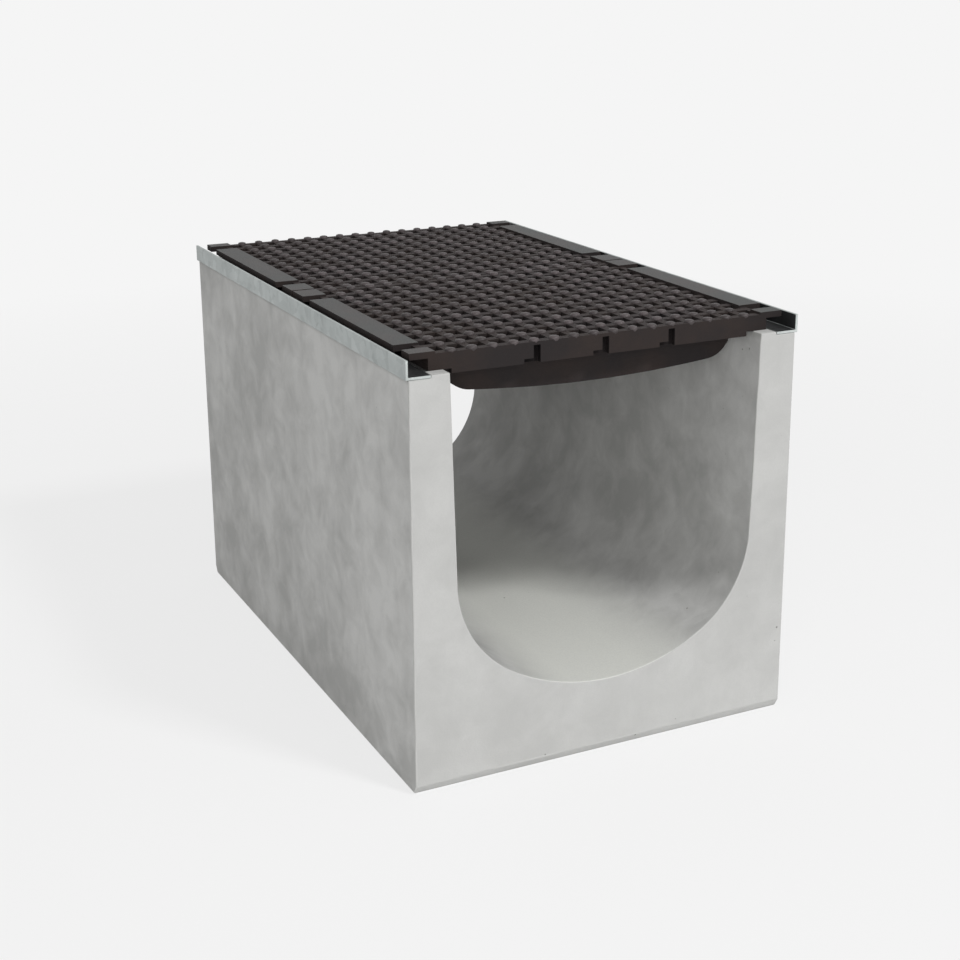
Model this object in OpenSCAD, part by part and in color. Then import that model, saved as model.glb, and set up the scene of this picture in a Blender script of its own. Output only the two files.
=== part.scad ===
// Precast concrete drainage channel, one metre long, with steel edge rails and two cast mesh gratings.
// Units are millimetres. X runs across the channel, Y along the flow, Z up. Z = 0 is the underside.

/* [Overall] */
// Length of the channel, along the flow
channel_length = 1000; // [600:5:2000]
// Width of the concrete, outside face to outside face
body_width = 640; // [420:5:900]
// Height from the underside to the top of the edge rails
rail_top = 654; // [480:1:1000]

/* [Concrete channel] */
// Thickness of each wall where it meets the ledge
wall_top = 62.5; // [50:0.5:100]
// How much each wall thickens from the ledge down to the curved floor
wall_draft = 7.5; // [0:0.5:20]
// Height of the lowest line of the flow above the underside
invert_height = 120; // [60:1:200]
// Height of the curved part of the section above the lowest flow line
curve_rise = 200; // [120:1:300]
// How much flatter the middle of the floor is than its corners
floor_flatness = 20; // [10:1:40]
// Height of the bevel along the bottom of each end face
end_bevel_height = 14; // [5:1:40]
// Depth of the bevel along the bottom of each end face
end_bevel_depth = 8; // [2:1:25]

/* [Edge rails] */
// Thickness of the steel angle
rail_thickness = 4; // [2:0.5:8]
// How far the upright leg of the angle reaches below the flat leg
rail_lip = 0; // [0:1:30]
// Width of the flat leg of the angle, from the side face of the concrete inwards
rail_flat = 34; // [15:1:45]
// Depth of the ledge below the top of the rail
ledge_depth = 24; // [16:1:50]

/* [Gratings] */
// Set-back of each outer grating end from the end of the channel
end_setback = 22; // [0:1:60]
// Gap between the two gratings
grating_gap = 5; // [5:0.5:20]
// Bearing of the grating side on each ledge
bearing = 23.5; // [12:0.5:27]
// Width of the side wall of each grating
side_wall = 11; // [6:0.5:20]
// Depth of the mesh bars
mesh_depth = 20; // [10:1:23]
// Thickness of the long mesh bars
long_bar = 13; // [6:0.5:18]
// Number of long mesh bars in one grating
long_bars = 16; // [6:2:24]
// Thickness of the cross mesh bars
cross_bar = 14; // [6:0.5:20]
// Number of cross mesh bars in one grating, with its two end walls
cross_bars = 13; // [5:1:25]
// Depth of the end walls below the ledge, between the channel walls
end_drop = 7; // [2:1:20]
// Clearance of the deep parts of the grating from the channel walls
wall_gap = 12; // [6:1:30]

/* [Side pads] */
// Height of the side pads above the top of the rail
pad_rise = 3.5; // [1:0.5:8]
// Thickness of the side pads
pad_thickness = 9.5; // [5:0.5:14]
// Gap between the side pads and the upright of the rail
pad_gap = 11; // [5:0.5:20]
// Width of the slots between the side pads
pad_slot = 30; // [10:1:60]
// Length of the corner pads at the outer ends
outer_pad = 27; // [15:1:90]
// Length of the corner pads at the middle joint
inner_pad = 48; // [15:1:90]

/* [Belly ribs] */
// Depth of the belly ribs below the ledge
belly_depth = 55; // [30:1:90]
// Thickness of the belly ribs
belly_thickness = 16; // [8:1:20]
// Radius of the long curve along the bottom of the ribs
belly_radius = 2000; // [900:10:4000]
// Radius of the rounded ends of the ribs
belly_corner = 46; // [20:1:60]

/* [End slots] */
// Distance between the upright slots in the end walls
slot_pitch = 112; // [40:1:180]
// Width of the upright slots
slot_width = 11; // [5:0.5:20]
// Reach of the foot at the bottom of each slot
foot_reach = 15; // [5:1:30]
// Height of the foot at the bottom of each slot
foot_height = 7; // [3:0.5:12]
// Depth of the slots into the end walls
slot_depth = 9; // [3:0.5:12]
// Height left standing above the slots
slot_cover = 5; // [3:0.5:12]

/* [Hidden] */
$fn = 96;
over = 1;
half_length = channel_length / 2;
half_width = body_width / 2;
ledge_z = rail_top - ledge_depth;
clear_top = half_width - wall_top;
clear_low = clear_top - wall_draft;
rise = min(curve_rise, clear_low * 4 / 5);
spring_z = invert_height + rise;
corner_radius = rise - floor_flatness;
corner_x = clear_low - corner_radius;
floor_up = (corner_x * corner_x - floor_flatness * floor_flatness) / (2 * floor_flatness);
floor_radius = rise + floor_up;
floor_z = spring_z + floor_up;
wedge_scale = 4;
leg_z = ledge_z - rail_thickness;
rail_foot = leg_z - rail_lip;
casting_length = half_length - end_setback - grating_gap / 2;
casting_y0 = -half_length + end_setback;
casting_y1 = -grating_gap / 2;
grating_half = clear_top + bearing;
mesh_half = grating_half - side_wall;
mesh_z = rail_top - mesh_depth;
long_pitch = (2 * mesh_half + long_bar) / (long_bars + 1);
cross_pitch = (casting_length - cross_bar) / (cross_bars - 1);
first_long = -long_pitch * (long_bars - 1) / 2;
first_cross = casting_y0 + cross_bar / 2;
deep_half = clear_top - wall_gap;
drop_z = ledge_z - end_drop;
pad_half = half_width - pad_gap;
pad_z = rail_top + pad_rise - pad_thickness;
pad_width = pad_half - mesh_half;
long_pad = casting_length - outer_pad - inner_pad - 2 * pad_slot;
belly_z = ledge_z - belly_depth;
belly_half = deep_half - wall_draft / 3;
middle_row = floor(cross_bars / 2);
rib_rows = [1, ceil(middle_row / 2), middle_row, cross_bars - 1 - ceil(middle_row / 2), cross_bars - 2];
rib_corner_x = belly_half - belly_corner;
rib_arc = belly_radius - belly_corner;
rib_corner_z = belly_z + belly_radius - sqrt(rib_arc * rib_arc - rib_corner_x * rib_corner_x);
slot_top = rail_top - slot_cover;
bevel_turn = atan(end_bevel_depth / end_bevel_height);

concrete_colour = [0.75, 0.75, 0.73];
steel_colour = [0.62, 0.65, 0.64];
iron_colour = [0.23, 0.22, 0.22];

// The sector that holds the long flat arc of the floor.
module floor_wedge() {
    polygon([
        [0, floor_z],
        [-corner_x * wedge_scale, floor_z - floor_up * wedge_scale],
        [corner_x * wedge_scale, floor_z - floor_up * wedge_scale]
    ]);
}

// The hollow of the channel, drawn across the flow.
module hollow_section() {
    polygon([
        [-clear_low, spring_z],
        [clear_low, spring_z],
        [clear_top, ledge_z],
        [clear_top, rail_top],
        [-clear_top, rail_top],
        [-clear_top, ledge_z]
    ]);
    translate([-corner_x, spring_z]) circle(corner_radius);
    translate([corner_x, spring_z]) circle(corner_radius);
    intersection() {
        translate([0, floor_z]) circle(floor_radius);
        floor_wedge();
    }
}

module along(length) {
    rotate([90, 0, 0]) linear_extrude(length, center = true) children();
}

module end_bevel() {
    translate([-half_width - over, -half_length, end_bevel_height])
        rotate([bevel_turn, 0, 0])
            translate([0, -half_width, -half_width])
                cube([body_width + 2 * over, half_width, half_width]);
}

module ledge_rebate() {
    translate([half_width - rail_flat, -half_length - over, leg_z])
        cube([rail_flat + over, channel_length + 2 * over, ledge_depth]);
}

module channel_body() {
    color(concrete_colour)
    difference() {
        translate([-half_width, -half_length, 0]) cube([body_width, channel_length, ledge_z]);
        along(channel_length + 2 * over) hollow_section();
        ledge_rebate();
        mirror([1, 0, 0]) ledge_rebate();
        end_bevel();
        mirror([0, 1, 0]) end_bevel();
    }
}

// Steel angle standing on the outer edge of one wall.
module rail_section() {
    translate([half_width - rail_flat, leg_z]) square([rail_flat + rail_thickness, rail_thickness]);
    translate([half_width, rail_foot]) square([rail_thickness, rail_top - rail_foot]);
}

module edge_rail_right() {
    color(steel_colour) along(channel_length) rail_section();
}

module edge_rail_left() {
    color(steel_colour) mirror([1, 0, 0]) along(channel_length) rail_section();
}

// Long and cross bars between the side walls. The end walls stand in for the first and last cross bars.
module mesh() {
    for (i = [0 : long_bars - 1])
        translate([first_long + i * long_pitch - long_bar / 2, casting_y0, mesh_z])
            cube([long_bar, casting_length, mesh_depth]);
    for (j = [1 : cross_bars - 2])
        translate([-grating_half + side_wall / 2, first_cross + j * cross_pitch - cross_bar / 2, mesh_z])
            cube([2 * grating_half - side_wall, cross_bar, mesh_depth]);
}

module side_walls() {
    for (side = [0, 1])
        mirror([side, 0, 0])
            translate([mesh_half, casting_y0, ledge_z])
                cube([side_wall, casting_length, ledge_depth]);
}

module end_wall() {
    translate([-grating_half, casting_y0, ledge_z])
        cube([2 * grating_half, cross_bar, ledge_depth]);
    translate([-deep_half, casting_y0, drop_z])
        cube([2 * deep_half, cross_bar, end_drop + over]);
}

module inner_end_wall() {
    translate([0, casting_y0 + casting_y1, 0]) mirror([0, 1, 0]) end_wall();
}

module pad(y, length) {
    for (side = [0, 1])
        mirror([side, 0, 0])
            translate([mesh_half, y, pad_z]) cube([pad_width, length, pad_thickness]);
}

module pads() {
    pad(casting_y0, outer_pad);
    pad(casting_y0 + outer_pad + pad_slot, long_pad);
    pad(casting_y1 - inner_pad, inner_pad);
}

module belly_rib(y) {
    translate([0, y, 0]) along(belly_thickness) rib_section();
}

module rib_section() {
    intersection() {
        translate([0, belly_z + belly_radius]) circle(belly_radius);
        rounded_band();
        translate([-belly_half, belly_z]) square([2 * belly_half, mesh_z + over - belly_z]);
    }
}

// A band with two round lower corners, set to touch the long curve.
module rounded_band() {
    translate([-belly_half, rib_corner_z]) square([2 * belly_half, 2 * belly_depth]);
    translate([-rib_corner_x, belly_z]) square([2 * rib_corner_x, 2 * belly_depth]);
    translate([-rib_corner_x, rib_corner_z]) circle(belly_corner);
    translate([rib_corner_x, rib_corner_z]) circle(belly_corner);
}

module end_slot(x) {
    translate([x - slot_width / 2, casting_y0 - over, drop_z + foot_height / 2])
        cube([slot_width, slot_depth + over, slot_top - drop_z - foot_height / 2]);
    translate([x - slot_width / 2 - foot_reach, casting_y0 - over, drop_z - over])
        cube([slot_width + foot_reach, slot_depth + over, foot_height + over]);
}

// One grating casting, drawn in its place at the front half of the channel.
module grating() {
    color(iron_colour)
    difference() {
        union() {
            mesh();
            side_walls();
            end_wall();
            inner_end_wall();
            pads();
            for (j = rib_rows) belly_rib(first_cross + j * cross_pitch);
        }
        for (k = [-1 : 1]) end_slot(k * slot_pitch);
    }
}

module grating_front() {
    grating();
}

module grating_rear() {
    rotate([0, 0, 180]) grating();
}

channel_body();
edge_rail_left();
edge_rail_right();
grating_front();
grating_rear();
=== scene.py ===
import math

import bmesh
import bpy
from bpy.props import FloatProperty, FloatVectorProperty, IntProperty, PointerProperty
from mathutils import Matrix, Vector


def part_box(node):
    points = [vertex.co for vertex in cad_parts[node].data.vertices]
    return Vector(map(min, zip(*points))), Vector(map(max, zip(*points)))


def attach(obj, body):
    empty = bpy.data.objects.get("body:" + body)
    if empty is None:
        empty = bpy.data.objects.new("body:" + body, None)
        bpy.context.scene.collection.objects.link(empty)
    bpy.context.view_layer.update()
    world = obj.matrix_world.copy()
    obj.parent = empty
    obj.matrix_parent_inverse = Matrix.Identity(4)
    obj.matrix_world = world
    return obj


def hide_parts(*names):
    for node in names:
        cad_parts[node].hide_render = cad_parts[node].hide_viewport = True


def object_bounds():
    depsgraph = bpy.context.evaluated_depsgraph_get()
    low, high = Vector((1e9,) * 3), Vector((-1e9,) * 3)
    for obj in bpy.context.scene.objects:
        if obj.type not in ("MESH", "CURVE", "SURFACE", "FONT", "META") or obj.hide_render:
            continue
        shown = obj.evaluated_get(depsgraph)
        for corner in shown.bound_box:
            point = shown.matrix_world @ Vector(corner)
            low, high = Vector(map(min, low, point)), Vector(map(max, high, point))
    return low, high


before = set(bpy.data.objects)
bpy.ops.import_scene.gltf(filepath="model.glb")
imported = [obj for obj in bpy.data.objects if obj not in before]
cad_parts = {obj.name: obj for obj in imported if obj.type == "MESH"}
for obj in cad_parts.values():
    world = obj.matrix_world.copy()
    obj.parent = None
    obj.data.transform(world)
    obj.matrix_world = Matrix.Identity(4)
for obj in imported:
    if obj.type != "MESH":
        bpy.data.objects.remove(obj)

bl_info = {
    "name": "Drainage Channel Looks",
    "version": (1, 0, 0),
    "blender": (4, 5, 0),
    "location": "View3D > Sidebar > Channel",
    "description": "Finishes a precast drainage channel with galvanised rails and cast gratings",
    "category": "Object",
}

MM = 0.001
CAD_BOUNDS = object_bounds()
HIDDEN_MARGIN = 4 * MM
SLOT_FACES = (1 * MM, 10 * MM)
GRATINGS = {"grating_front": "front_grating", "grating_rear": "rear_grating"}
RAILS = ("edge_rail_left", "edge_rail_right")


def linear(hex_colour):
    """The linear RGB of an sRGB hex colour such as #c4c5c1."""
    channels = (int(hex_colour[i : i + 2], 16) / 255 for i in (1, 3, 5))
    return tuple(c / 12.92 if c <= 0.04045 else ((c + 0.055) / 1.055) ** 2.4 for c in channels)


def colour(name, description, hex_colour):
    """A colour setting whose default is an sRGB hex value."""
    return FloatVectorProperty(
        name=name, description=description, subtype="COLOR", size=3, min=0, max=1,
        default=linear(hex_colour),
    )


def length(name, description, millimetres):
    """A length setting in metres whose default is given in millimetres."""
    return FloatProperty(
        name=name, description=description, subtype="DISTANCE", unit="LENGTH", min=0,
        default=millimetres * MM, precision=4,
    )


class ConcreteSettings(bpy.types.PropertyGroup):
    arris: length("Arris", "Rounding of the outer edges of the concrete", 3)
    face: colour("Face", "Cast face of the concrete", "#c9c9c7")
    shade: colour("Shade", "Damp, darker clouds in the face", "#acacaa")
    # Painted shade: the rounded edges get a colour darker than the face, which takes back the light they
    # catch from the front lamp.
    arris_shade: colour("Bloom", "Lime bloom on the eased edges", "#abaca9")
    even: colour("Even", "Even tone of the struck end faces", "#bfbfbd")
    # Painted light: the paler colour of upward faces low in the channel, its floor, which stands in for the
    # light falling on it.
    floor_lit: colour("Washed", "Paler floor where water runs", "#dedfd9")
    # Painted shade: the dark colour inside the air pores, where shade falls. It is also the colour of the
    # painted shadow below the rails.
    shaded_pore: colour("Pore", "Bottom of the air pores", "#83837e")
    cloud: length("Clouds", "Size of the soft clouds of colour", 210)
    patch: length("Patches", "Size of the smaller blotches left by the mould oil", 58)
    # Painted shadow: the depth of the darker band on the side faces just below the rails, which stands in for
    # the shadow the rails cast.
    rail_shadow: length("Drip line", "Depth of the dirty line below the rails", 7)
    # Painted shade: the near-black colour of the upward ledges under the gratings, which lie in the gratings'
    # shade.
    painted_shade: colour("Grime", "Grime on the ledges below the gratings", "#242423")
    # The painted light on the floor fades out over this height above the underside.
    floor_lit_height: length("Wash height", "Height above the underside where the wash fades out", 168)
    pore_spacing: length("Pore spacing", "Distance between air pores", 26)
    sand: length("Sand", "Grain of the cement skin, drawn coarser than real sand", 2.6)


class RailSettings(bpy.types.PropertyGroup):
    edge: length("Edge", "Rounding of the rolled edges of the angle", 0.7)
    zinc: colour("Zinc", "Dull zinc of the rail", "#b4b9b8")
    dark_zinc: colour("Dark zinc", "Darker crystals and wear in the zinc", "#a0a5a4")
    cut: colour("Cut end", "Bright sawn end of the rail", "#d3d8d6")
    # Painted shade: the near-black, matt colour of the rails' inner faces and ledge, which lie in the shade
    # of the gratings.
    rail_shade: colour("Soil", "Road grime on the inner faces", "#1c1d1e")
    spangle: length("Spangle", "Size of the zinc crystals", 14)


class GratingSettings(bpy.types.PropertyGroup):
    edge: length("Edge", "Rounding of the casting's edges", 1.6)
    iron: colour("Iron", "Dark dipped skin of the casting", "#201c1c")
    brown: colour("Brown", "Brownish clouds in the dip", "#2b2320")
    tread: colour("Tread", "Dusty tops of the mesh bars", "#2c2626")
    # Worn stud crowns, also painted lighter to stand in for the highlights on them. This is also the colour
    # of the lighter grit specks.
    worn_sheen: colour("Worn", "Wheel-worn crowns of the studs", "#4e4647")
    # Worn pad tops, also painted lighter to stand in for the sky their grazing tops reflect.
    pad: colour("Pad", "Wheel-worn tops of the side pads", "#393c3b")
    # Cloudy tone in the pads' colour, which is partly painted reflection.
    pad_cloud: colour("Scuff", "Browner scuffs on the side pads", "#403c3b")
    # Painted shade: the near-black colour of the walls of the end slots, which lie in shade.
    slot_shade: colour("Dirt", "Dirt packed in the end slots", "#0b0a0a")
    cloud: length("Clouds", "Size of the brownish clouds", 90)
    grit: length("Grit", "Grain left by the sand mould", 1.6)
    long_bars: IntProperty(name="Long bars", description="Bars along the flow", default=16, min=2)
    cross_bars: IntProperty(
        name="Cross bars", description="Bars across, with both end walls", default=13, min=3
    )
    long_bar: length("Long bar", "Thickness of a long bar", 13)
    cross_bar: length("Cross bar", "Thickness of a cross bar", 14)
    side_wall: length("Side wall", "From the pad's outer edge to the mesh", 39)
    pad_rise: length("Pad rise", "Height of the side pads above the mesh", 3.5)
    stud_radius: length("Stud radius", "Half the width of a grip stud", 7.9)
    stud_height: length("Stud height", "Height of a grip stud above the bars", 4.6)


class StageSettings(bpy.types.PropertyGroup):
    azimuth: FloatProperty(
        name="Azimuth", description="Direction of view round the channel",
        subtype="ANGLE", unit="ROTATION", default=math.radians(-27.02),
    )
    elevation: FloatProperty(
        name="Elevation", description="Height of the view above the horizon",
        subtype="ANGLE", unit="ROTATION", default=math.radians(15.85),
    )
    eye: FloatVectorProperty(
        name="Eye", description="Place of the camera", subtype="TRANSLATION", unit="LENGTH",
        size=3, default=(-1.1441, -2.4574, 1.1862),
    )
    lens: FloatProperty(name="Lens", description="Focal length in millimetres", default=60.76)
    shift: FloatVectorProperty(
        name="Shift", description="Sideways and upward shift of the lens", size=2,
        default=(-0.0448, -0.0726),
    )
    paper: colour("Paper", "Pale ground and backdrop", "#f5f5f5")
    sky: FloatProperty(name="Sky", description="Strength of the even light", default=0.46, min=0)
    key: FloatProperty(name="Key", description="Power of the front lamp in watts", default=228, min=0)
    fill: FloatProperty(name="Fill", description="Power of the side lamp in watts", default=72, min=0)
    ground_shade: FloatProperty(
        name="Ground shade", description="How much of its own light and shadow the ground shows",
        subtype="FACTOR", default=0.2, min=0, max=1,
    )


def settings(name):
    """One of the settings groups on the scene."""
    return getattr(bpy.context.scene, "channel_" + name)


# Materials


def add(tree, kind, values=None, links=None, **options):
    """A node with its options, input values and links from other sockets."""
    made = tree.nodes.new(kind)
    for name, value in options.items():
        setattr(made, name, value)
    for name, value in (values or {}).items():
        made.inputs[name].default_value = value
    for name, socket in (links or {}).items():
        tree.links.new(socket, made.inputs[name])
    return made


def new_material(name):
    """An empty material with its tree, and the object coordinates."""
    material = bpy.data.materials.new(name)
    material.use_nodes = True
    tree = material.node_tree
    tree.nodes.clear()
    place = add(tree, "ShaderNodeTexCoord").outputs["Object"]
    return material, tree, place


def per_metre(size):
    """The texture scale that makes one feature as wide as size."""
    return 1 / size


def rgba(value):
    return (*value, 1)


def blended(tree, factor, first, second):
    """The colour between two colours or colour sockets."""
    mix = add(tree, "ShaderNodeMix", data_type="RGBA", links={"Factor": factor})
    for socket, value in ((mix.inputs[6], first), (mix.inputs[7], second)):
        if isinstance(value, bpy.types.NodeSocket):
            tree.links.new(value, socket)
        else:
            socket.default_value = rgba(value)
    return mix.outputs[2]


def ramp(tree, value, low, high, start=0, end=1):
    """value spread from low and high to start and end, clamped."""
    spread = add(
        tree, "ShaderNodeMapRange", links={"Value": value},
        values={"From Min": low, "From Max": high, "To Min": start, "To Max": end},
    )
    return spread.outputs["Result"]


def noise(tree, place, size, detail, roughness, distortion=0.0):
    """A cloudy value whose blotches are about size wide."""
    return add(
        tree, "ShaderNodeTexNoise", links={"Vector": place},
        values={
            "Scale": per_metre(size), "Detail": detail, "Roughness": roughness,
            "Distortion": distortion,
        },
    ).outputs["Fac"]


def calculate(tree, operation, first, second):
    """The result of a sum on two sockets or numbers."""
    node = add(tree, "ShaderNodeMath", operation=operation)
    for socket, value in ((node.inputs[0], first), (node.inputs[1], second)):
        if isinstance(value, bpy.types.NodeSocket):
            tree.links.new(value, socket)
        else:
            socket.default_value = value
    return node.outputs[0]


def finish_surface(tree, base, rough, height, depth, metallic=0.0):
    """The shader with its bump and the output. depth is the relief in metres."""
    bump = add(
        tree, "ShaderNodeBump", values={"Strength": 1, "Distance": depth}, links={"Height": height}
    )
    shader = add(
        tree, "ShaderNodeBsdfPrincipled", values={"Metallic": metallic},
        links={"Base Color": base, "Roughness": rough, "Normal": bump.outputs["Normal"]},
    )
    add(tree, "ShaderNodeOutputMaterial", links={"Surface": shader.outputs["BSDF"]})
    return shader


def grating_end():
    """How far the gratings reach from the middle of the channel."""
    return max(abs(corner[1]) for node_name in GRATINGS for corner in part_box(node_name))


def cast_concrete(name, face, shade):
    """Grey concrete cast in a smooth steel mould: matt, cloudy, with a sandy skin and open air pores; with
    painted shade in the pores, below the rails and on the ledges under the gratings, and painted light on the
    floor.
    """
    look = settings("concrete")
    material, tree, place = new_material(name)
    clouds = noise(tree, place, look.cloud, 4, 0.55)
    patches = noise(tree, place, look.patch, 4, 0.6, 0.4)
    sand = noise(tree, place, look.sand, 2, 0.7)
    cell = add(
        tree, "ShaderNodeTexVoronoi", links={"Vector": place},
        values={"Scale": per_metre(look.pore_spacing)},
    )
    chosen = add(tree, "ShaderNodeSeparateColor", links={"Color": cell.outputs["Color"]})
    pore_size = ramp(tree, chosen.outputs["Red"], 0.45, 1.0, 0.0, 0.075)
    inside = calculate(tree, "SUBTRACT", pore_size, cell.outputs["Distance"])
    shaded_pore = ramp(tree, inside, 0.0, 0.02)
    mixed = calculate(tree, "ADD", clouds, patches)
    mottled = blended(tree, ramp(tree, mixed, 0.8, 1.22), shade, face)
    height = add(tree, "ShaderNodeSeparateXYZ", links={"Vector": place}).outputs["Z"]
    normal = add(tree, "ShaderNodeNewGeometry").outputs["Normal"]
    facing = add(tree, "ShaderNodeSeparateXYZ", links={"Vector": normal})
    upward = facing.outputs["Z"]
    end_face = ramp(tree, calculate(tree, "ABSOLUTE", facing.outputs["Y"], 0), 0.5, 0.9, 0, 0.6)
    toned = blended(tree, end_face, mottled, look.even)
    rail_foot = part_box(RAILS[0])[0][2]
    sideways = ramp(tree, calculate(tree, "ABSOLUTE", facing.outputs["X"], 0), 0.5, 0.9)
    # Painted shadow: the side faces are darkened in a band just below the rails.
    rail_shadow = calculate(tree, "MULTIPLY", sideways, ramp(tree, height, rail_foot - look.rail_shadow, rail_foot, 0, 0.5))
    along = add(tree, "ShaderNodeSeparateXYZ", links={"Vector": place}).outputs["Y"]
    # Painted shade: upward faces above the rails' foot and under the gratings are darkened to near black.
    covered = calculate(tree, "LESS_THAN", calculate(tree, "ABSOLUTE", along, 0), grating_end())
    seat = calculate(tree, "MULTIPLY", calculate(tree, "GREATER_THAN", height, rail_foot), covered)
    seat_shade_mask = calculate(tree, "MULTIPLY", seat, ramp(tree, upward, 0.3, 0.6))
    # Both painted shades are mixed in here: the shadow below the rails and the shade on the ledges.
    painted_shades = blended(tree, seat_shade_mask, blended(tree, rail_shadow, toned, look.shaded_pore), look.painted_shade)
    # Painted light: upward faces low in the channel, its floor, are painted paler, as if lit from above.
    low = ramp(tree, height, look.floor_lit_height, look.floor_lit_height * 0.75)
    floor_lit_mask = calculate(tree, "MULTIPLY", low, ramp(tree, upward, 0.35, 0.9))
    floor_lit = blended(tree, floor_lit_mask, painted_shades, look.floor_lit)
    speckled = blended(tree, ramp(tree, sand, 0.35, 0.68, 0.0, 0.16), floor_lit, shade)
    # The pores are painted dark: painted shade inside the holes, on top of their bump.
    base = blended(tree, ramp(tree, shaded_pore, 0, 1, 0, 0.8), speckled, look.shaded_pore)
    relief = calculate(tree, "SUBTRACT", calculate(tree, "MULTIPLY", sand, 0.22), shaded_pore)
    rough = ramp(tree, patches, 0.3, 0.7, 0.82, 0.94)
    finish_surface(tree, base, rough, relief, 0.9 * MM)
    return material


def dull_zinc(name, zinc, dark, metallic=0.75):
    """Hot-dip galvanised steel some months old: faint crystals, cloudy grey, little shine."""
    look = settings("rail")
    material, tree, place = new_material(name)
    crystal = add(
        tree, "ShaderNodeTexVoronoi", links={"Vector": place},
        values={"Scale": per_metre(look.spangle)},
    )
    tone = add(tree, "ShaderNodeSeparateColor", links={"Color": crystal.outputs["Color"]})
    clouds = noise(tree, place, look.spangle * 5, 5, 0.5)
    both = calculate(tree, "ADD", calculate(tree, "MULTIPLY", tone.outputs["Red"], 0.35), clouds)
    base = blended(tree, ramp(tree, both, 0.35, 0.95), dark, zinc)
    rough = ramp(tree, tone.outputs["Green"], 0, 1, 0.5, 0.68)
    finish_surface(tree, base, rough, clouds, 0.12 * MM, metallic=metallic)
    return material


def dipped_iron(name, skin, cloud_colour, low_rough=0.62, high_rough=0.85, gloss=0.22):
    """Cast iron from a sand mould, dipped in black coating: gritty skin, soft brown clouds, low shine."""
    look = settings("grating")
    material, tree, place = new_material(name)
    clouds = noise(tree, place, look.cloud, 4, 0.6)
    grit = noise(tree, place, look.grit, 3, 0.65)
    toned = blended(tree, ramp(tree, clouds, 0.38, 0.66), skin, cloud_colour)
    base = blended(tree, ramp(tree, grit, 0.3, 0.75, 0.0, 0.12), toned, look.worn_sheen)
    rough = ramp(tree, grit, 0.3, 0.7, low_rough, high_rough)
    shader = finish_surface(tree, base, rough, grit, 0.35 * MM)
    shader.inputs["Specular IOR Level"].default_value = gloss
    return material


def under_channel(tree, place):
    """One under the channel's base and nought elsewhere, so that the base is lit from below."""
    parts = add(tree, "ShaderNodeSeparateXYZ", links={"Vector": place}).outputs
    inside = 1
    for axis, half in (("X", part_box("channel_body")[1][0]), ("Y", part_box("channel_body")[1][1])):
        distance = calculate(tree, "ABSOLUTE", parts[axis], 0)
        within = calculate(tree, "LESS_THAN", distance, half - HIDDEN_MARGIN)
        inside = calculate(tree, "MULTIPLY", within, inside)
    return inside


def paper_ground():
    """Plain pale ground that keeps a soft shadow and fades into the backdrop."""
    look = settings("stage")
    material, tree, place = new_material("pale_ground")
    ray = add(tree, "ShaderNodeLightPath")
    matt = add(tree, "ShaderNodeBsdfDiffuse", values={"Color": rgba(look.paper)})
    plain = add(tree, "ShaderNodeEmission", values={"Color": rgba(look.paper), "Strength": 1})
    lit = add(
        tree, "ShaderNodeMixShader", values={0: look.ground_shade},
        links={1: plain.outputs[0], 2: matt.outputs[0]},
    ).outputs[0]
    seen = add(
        tree, "ShaderNodeMixShader",
        links={0: ray.outputs["Is Camera Ray"], 1: matt.outputs[0], 2: lit},
    ).outputs[0]
    away = add(
        tree, "ShaderNodeVectorMath", operation="LENGTH", links={0: place}
    ).outputs["Value"]
    below = add(tree, "ShaderNodeNewGeometry").outputs["Backfacing"]
    hole = calculate(tree, "MAXIMUM", below, under_channel(tree, place))
    fade = calculate(tree, "MAXIMUM", ramp(tree, away, 1.2, 3.4), hole)
    clear = add(tree, "ShaderNodeBsdfTransparent")
    surface = add(
        tree, "ShaderNodeMixShader", links={0: fade, 1: seen, 2: clear.outputs[0]}
    )
    add(tree, "ShaderNodeOutputMaterial", links={"Surface": surface.outputs[0]})
    return material


# Shapes


def clean_copy(node_name, piece_name, *materials):
    """A copy of a CAD node with its triangles merged into whole faces, at the same place."""
    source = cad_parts[node_name].data
    shape = bmesh.new()
    shape.from_mesh(source)
    bmesh.ops.remove_doubles(shape, verts=shape.verts, dist=0.01 * MM)
    bmesh.ops.dissolve_limit(
        shape, angle_limit=math.radians(1), verts=shape.verts, edges=shape.edges
    )
    for face in shape.faces:
        face.smooth = True
        face.material_index = 0
    mesh = bpy.data.meshes.new(piece_name)
    shape.to_mesh(mesh)
    shape.free()
    piece = bpy.data.objects.new(piece_name, mesh)
    bpy.context.scene.collection.objects.link(piece)
    for material in materials:
        mesh.materials.append(material)
    return piece


def soften(piece, width, segments, edge_slot, least_angle=20):
    """Rounds the sharp edges of a piece and gives the rounding its own material slot."""
    bevel = piece.modifiers.new("rounded_edges", "BEVEL")
    bevel.width = width
    bevel.segments = segments
    bevel.limit_method = "ANGLE"
    bevel.angle_limit = math.radians(least_angle)
    bevel.material = edge_slot
    piece.modifiers.new("even_shading", "WEIGHTED_NORMAL").keep_sharp = True


def applied(piece):
    """Turns a piece's modifiers into plain mesh."""
    depsgraph = bpy.context.evaluated_depsgraph_get()
    mesh = bpy.data.meshes.new_from_object(piece.evaluated_get(depsgraph))
    piece.modifiers.clear()
    piece.data = mesh
    return piece


def grid_positions(low, high, bar, count):
    """Centres of count bars whose openings are all alike between two walls."""
    pitch = (high - low + bar) / (count + 1)
    return [low + (i + 1) * pitch - bar / 2 for i in range(count)]


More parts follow.
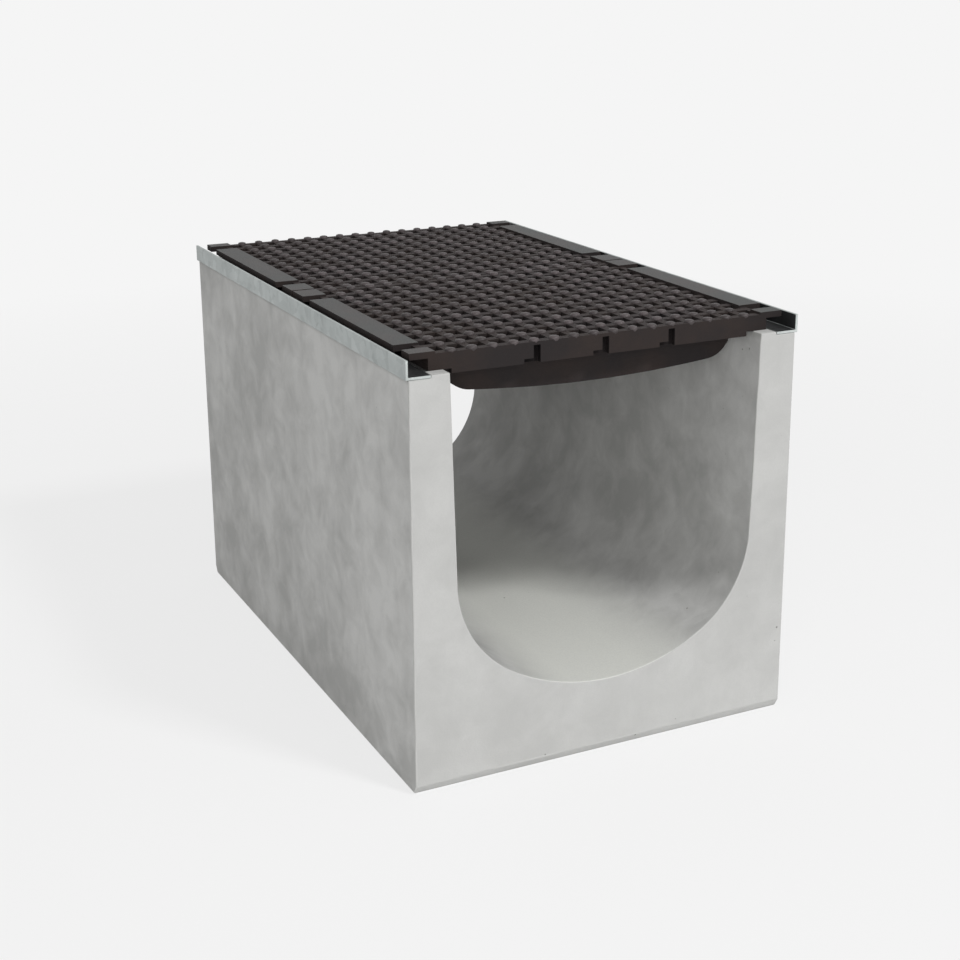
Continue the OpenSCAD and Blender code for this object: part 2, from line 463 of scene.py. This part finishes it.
def flattened_ball(tree, ball):
    """A ball with a flatter crown and steeper sides, as a stud leaves the sand."""
    place = add(tree, "GeometryNodeInputPosition").outputs["Position"]
    parts = add(tree, "ShaderNodeSeparateXYZ", links={"Vector": place})
    steep = calculate(tree, "POWER", calculate(tree, "ABSOLUTE", parts.outputs["Z"], 0), 0.5)
    signed = calculate(tree, "MULTIPLY", steep, calculate(tree, "SIGN", parts.outputs["Z"], 0))
    moved = add(
        tree, "ShaderNodeCombineXYZ",
        links={"X": parts.outputs["X"], "Y": parts.outputs["Y"], "Z": signed},
    )
    shaped = add(
        tree, "GeometryNodeSetPosition",
        links={"Geometry": ball, "Position": moved.outputs["Vector"]},
    )
    return shaped.outputs["Geometry"]


def stud_tree():
    """Geometry nodes that set a rounded stud on every crossing of the mesh."""
    tree = bpy.data.node_groups.new("grip_studs", "GeometryNodeTree")
    sockets = {
        "Columns": "NodeSocketInt", "Rows": "NodeSocketInt", "Width": "NodeSocketFloat",
        "Length": "NodeSocketFloat", "Centre": "NodeSocketVector", "Radius": "NodeSocketFloat",
        "Height": "NodeSocketFloat", "Seed": "NodeSocketInt", "Material": "NodeSocketMaterial",
    }
    for name, kind in sockets.items():
        tree.interface.new_socket(name, in_out="INPUT", socket_type=kind)
    tree.interface.new_socket("Geometry", in_out="OUTPUT", socket_type="NodeSocketGeometry")
    given = add(tree, "NodeGroupInput").outputs
    grid = add(
        tree, "GeometryNodeMeshGrid",
        links={
            "Size X": given["Width"], "Size Y": given["Length"],
            "Vertices X": given["Columns"], "Vertices Y": given["Rows"],
        },
    )
    placed = add(
        tree, "GeometryNodeTransform",
        links={"Geometry": grid.outputs["Mesh"], "Translation": given["Centre"]},
    )
    ball = add(tree, "GeometryNodeMeshUVSphere", values={"Segments": 12, "Rings": 6, "Radius": 1})
    stud = flattened_ball(tree, ball.outputs["Mesh"])
    size = add(
        tree, "ShaderNodeCombineXYZ",
        links={"X": given["Radius"], "Y": given["Radius"], "Z": given["Height"]},
    )
    shaped = add(
        tree, "GeometryNodeTransform",
        links={"Geometry": stud, "Scale": size.outputs["Vector"]},
    )
    uneven = add(
        tree, "FunctionNodeRandomValue", data_type="FLOAT_VECTOR",
        values={"Min": (0.93, 0.93, 0.86), "Max": (1.07, 1.07, 1.0)}, links={"Seed": given["Seed"]},
    )
    set_out = add(
        tree, "GeometryNodeInstanceOnPoints",
        links={
            "Points": placed.outputs["Geometry"], "Instance": shaped.outputs["Geometry"],
            "Scale": uneven.outputs["Value"],
        },
    )
    real = add(
        tree, "GeometryNodeRealizeInstances", links={"Geometry": set_out.outputs["Instances"]}
    )
    smooth = add(
        tree, "GeometryNodeSetShadeSmooth", links={"Geometry": real.outputs["Geometry"]}
    )
    coloured = add(
        tree, "GeometryNodeSetMaterial",
        links={"Geometry": smooth.outputs["Geometry"], "Material": given["Material"]},
    )
    add(tree, "NodeGroupOutput", links={"Geometry": coloured.outputs["Geometry"]})
    return tree


def set_inputs(modifier, values):
    """Gives a geometry nodes modifier its inputs by their socket identifiers."""
    for item in modifier.node_group.interface.items_tree:
        if item.item_type == "SOCKET" and item.in_out == "INPUT" and item.name in values:
            modifier[item.identifier] = values[item.name]


# Operators


class CHANNEL_OT_body(bpy.types.Operator):
    """Finishes the concrete channel body"""

    bl_idname = "channel.body"
    bl_label = "Concrete Body"

    def execute(self, context):
        look = settings("concrete")
        face = cast_concrete("mould_cast_concrete", look.face, look.shade)
        # The rounded edges use the darker arris colour: painted shade that takes back the light they catch.
        arris = cast_concrete("shaded_concrete_arris", look.arris_shade, look.face)
        piece = clean_copy("channel_body", "concrete_body", face, arris)
        soften(piece, look.arris, 3, 1)
        applied(piece)
        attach(piece, "channel")
        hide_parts("channel_body")
        return {"FINISHED"}


class CHANNEL_OT_rails(bpy.types.Operator):
    """Finishes the two galvanised edge rails"""

    bl_idname = "channel.rails"
    bl_label = "Edge Rails"

    def execute(self, context):
        look = settings("rail")
        zinc = dull_zinc("galvanised_steel", look.zinc, look.dark_zinc)
        cut = dull_zinc("sawn_galvanised_end", look.cut, look.zinc)
        # A matt, near-black copy of the zinc: painted shade for the faces in the gratings' shade.
        shaded_ledge = dull_zinc("shaded_galvanised_ledge", look.rail_shade, look.rail_shade, 0.0)
        for node_name in RAILS:
            piece = clean_copy(node_name, node_name + "_zinc", zinc, cut, shaded_ledge)
            low, high = (Vector(corner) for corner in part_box(node_name))
            inward = -1 if low.x + high.x > 0 else 1
            # Sawn ends get the cut colour. The ledge and the inward faces get the painted shade.
            for face in piece.data.polygons:
                ledge = face.normal.z > 0.5 and face.center.z < (low.z + high.z) / 2
                if abs(face.normal.y) > 0.5:
                    face.material_index = 1
                elif ledge or face.normal.x * inward > 0.5:
                    face.material_index = 2
            soften(piece, look.edge, 2, 0)
            applied(piece)
            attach(piece, "channel")
            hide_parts(node_name)
        return {"FINISHED"}


class CHANNEL_OT_gratings(bpy.types.Operator):
    """Finishes the two cast gratings"""

    bl_idname = "channel.gratings"
    bl_label = "Gratings"

    def execute(self, context):
        look = settings("grating")
        skin = dipped_iron("dipped_cast_iron", look.iron, look.brown)
        edge = dipped_iron("rubbed_iron_edge", look.tread, look.iron)
        tread = dipped_iron("dusty_iron_tread", look.tread, look.brown)
        # Pad tops: wear plus a painted reflection, lighter than the iron.
        worn_sheen = dipped_iron("pad_wear_and_sheen", look.pad, look.pad_cloud, 0.5, 0.65, 0.35)
        # A near-black copy of the iron: painted shade for the slot walls.
        slot_shade = dipped_iron("shaded_slot_wall", look.slot_shade, look.iron, 0.85, 0.95, 0.1)
        for node_name, body in GRATINGS.items():
            piece = clean_copy(node_name, node_name + "_casting", skin, edge, tread, worn_sheen, slot_shade)
            outer_end = grating_end()
            pad_top = Vector(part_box(node_name)[1]).z
            mesh_top = pad_top - look.pad_rise
            for face in piece.data.polygons:
                # Upward faces: pad tops get the pad colour with its painted reflection, mesh bar tops get the
                # tread, and the rest gets the dark skin.
                if face.normal.z > 0.5:
                    height = face.center.z + look.pad_rise / 2
                    face.material_index = 3 if height > pad_top else 2 if height > mesh_top else 0
                # Upright faces just inside the grating's ends, the slot walls, get the painted shade.
                inset = outer_end - abs(face.center.y)
                if abs(face.normal.z) < 0.5 and SLOT_FACES[0] < inset < SLOT_FACES[1]:
                    face.material_index = 4
            soften(piece, look.edge, 2, 1)
            applied(piece)
            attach(piece, body)
            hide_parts(node_name)
        return {"FINISHED"}


class CHANNEL_OT_studs(bpy.types.Operator):
    """Sets the grip studs on the crossings of both gratings"""

    bl_idname = "channel.studs"
    bl_label = "Grip Studs"

    def execute(self, context):
        look = settings("grating")
        # Studs: worn crowns with a painted highlight, lighter than the bars.
        worn_sheen = dipped_iron("stud_wear_and_sheen", look.worn_sheen, look.tread, 0.42, 0.6, 0.4)
        tree = stud_tree()
        for seed, (node_name, body) in enumerate(GRATINGS.items()):
            low, high = (Vector(corner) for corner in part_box(node_name))
            columns = grid_positions(
                low.x + look.side_wall, high.x - look.side_wall, look.long_bar, look.long_bars
            )
            width = columns[-1] - columns[0]
            run = high.y - low.y - look.cross_bar
            centre = (low + high) / 2
            centre.z = high.z - look.pad_rise
            piece = bpy.data.objects.new(node_name + "_studs", bpy.data.meshes.new("studs"))
            context.scene.collection.objects.link(piece)
            nodes = piece.modifiers.new("grip_studs", "NODES")
            nodes.node_group = tree
            set_inputs(nodes, {
                "Columns": look.long_bars, "Rows": look.cross_bars, "Width": width,
                "Length": run, "Centre": centre, "Radius": look.stud_radius,
                "Height": look.stud_height, "Seed": seed, "Material": worn_sheen,
            })
            applied(piece)
            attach(piece, body)
        return {"FINISHED"}


class CHANNEL_OT_stage(bpy.types.Operator):
    """Sets the ground, the lights and the camera"""

    bl_idname = "channel.stage"
    bl_label = "Stage"

    def execute(self, context):
        look = settings("stage")
        scene = context.scene
        scene.view_settings.view_transform = "Standard"
        make_ground()
        make_sky(look)
        centre = (Vector(CAD_BOUNDS[0]) + Vector(CAD_BOUNDS[1])) / 2
        make_lamp("front_lamp", centre + Vector((2.1, -4.4, 5.0)), centre, look.key, 1.0)
        make_lamp("side_lamp", centre + Vector((-3.2, -4.9, 1.5)), centre, look.fill, 1.8)
        make_camera(look)
        return {"FINISHED"}


def make_ground():
    """A wide disc under the channel."""
    shape = bmesh.new()
    bmesh.ops.create_circle(shape, cap_ends=True, segments=96, radius=4)
    mesh = bpy.data.meshes.new("ground")
    bmesh.ops.translate(shape, verts=shape.verts, vec=(0, 0, -0.5 * MM))
    shape.to_mesh(mesh)
    shape.free()
    mesh.materials.append(paper_ground())
    ground = bpy.data.objects.new("ground", mesh)
    bpy.context.scene.collection.objects.link(ground)


def make_sky(look):
    """Even light all round, and a pale backdrop for the camera and for reflections."""
    world = bpy.data.worlds.new("pale_studio")
    world.use_nodes = True
    tree = world.node_tree
    tree.nodes.clear()
    ray = add(tree, "ShaderNodeLightPath").outputs
    glossy = add(
        tree, "ShaderNodeMath", operation="MAXIMUM",
        links={0: ray["Is Glossy Ray"], 1: ray["Is Transmission Ray"]},
    ).outputs[0]
    seen = add(
        tree, "ShaderNodeMath", operation="MAXIMUM", links={0: ray["Is Camera Ray"], 1: glossy}
    ).outputs[0]
    even = add(tree, "ShaderNodeBackground", values={"Color": (1, 1, 1, 1), "Strength": look.sky})
    pale = add(tree, "ShaderNodeBackground", values={"Color": rgba(look.paper), "Strength": 1})
    both = add(
        tree, "ShaderNodeMixShader", links={0: seen, 1: even.outputs[0], 2: pale.outputs[0]}
    )
    add(tree, "ShaderNodeOutputWorld", links={"Surface": both.outputs[0]})
    bpy.context.scene.world = world


def make_lamp(name, place, target, power, size):
    """A soft square lamp that faces a point."""
    light = bpy.data.lights.new(name, "AREA")
    light.energy = power
    light.size = size
    lamp = bpy.data.objects.new(name, light)
    lamp.location = place
    lamp.rotation_euler = (target - place).to_track_quat("-Z", "Y").to_euler()
    bpy.context.scene.collection.objects.link(lamp)


def make_camera(look):
    """The camera, level, at the given place and direction."""
    camera = bpy.data.objects.new("camera", bpy.data.cameras.new("camera"))
    camera.location = look.eye
    camera.rotation_euler = (math.pi / 2 - look.elevation, 0, look.azimuth)
    camera.data.lens = look.lens
    camera.data.shift_x, camera.data.shift_y = look.shift
    bpy.context.scene.collection.objects.link(camera)
    bpy.context.scene.camera = camera


class CHANNEL_PT_panel(bpy.types.Panel):
    """Lists the pieces of the channel"""

    bl_label = "Drainage Channel"
    bl_idname = "CHANNEL_PT_panel"
    bl_space_type = "VIEW_3D"
    bl_region_type = "UI"
    bl_category = "Channel"

    def draw(self, context):
        for operator in OPERATORS:
            self.layout.operator(operator.bl_idname)


GROUPS = {
    "concrete": ConcreteSettings, "rail": RailSettings, "grating": GratingSettings,
    "stage": StageSettings,
}
OPERATORS = (
    CHANNEL_OT_body, CHANNEL_OT_rails, CHANNEL_OT_gratings, CHANNEL_OT_studs, CHANNEL_OT_stage,
)
CLASSES = (*GROUPS.values(), *OPERATORS, CHANNEL_PT_panel)


def register():
    for cls in CLASSES:
        bpy.utils.register_class(cls)
    for name, group in GROUPS.items():
        setattr(bpy.types.Scene, "channel_" + name, PointerProperty(type=group))


def unregister():
    for name in GROUPS:
        delattr(bpy.types.Scene, "channel_" + name)
    for cls in reversed(CLASSES):
        bpy.utils.unregister_class(cls)


def main():
    register()
    bpy.ops.channel.body()
    bpy.ops.channel.rails()
    bpy.ops.channel.gratings()
    bpy.ops.channel.studs()
    bpy.ops.channel.stage()


if __name__ == "__main__":
    main()
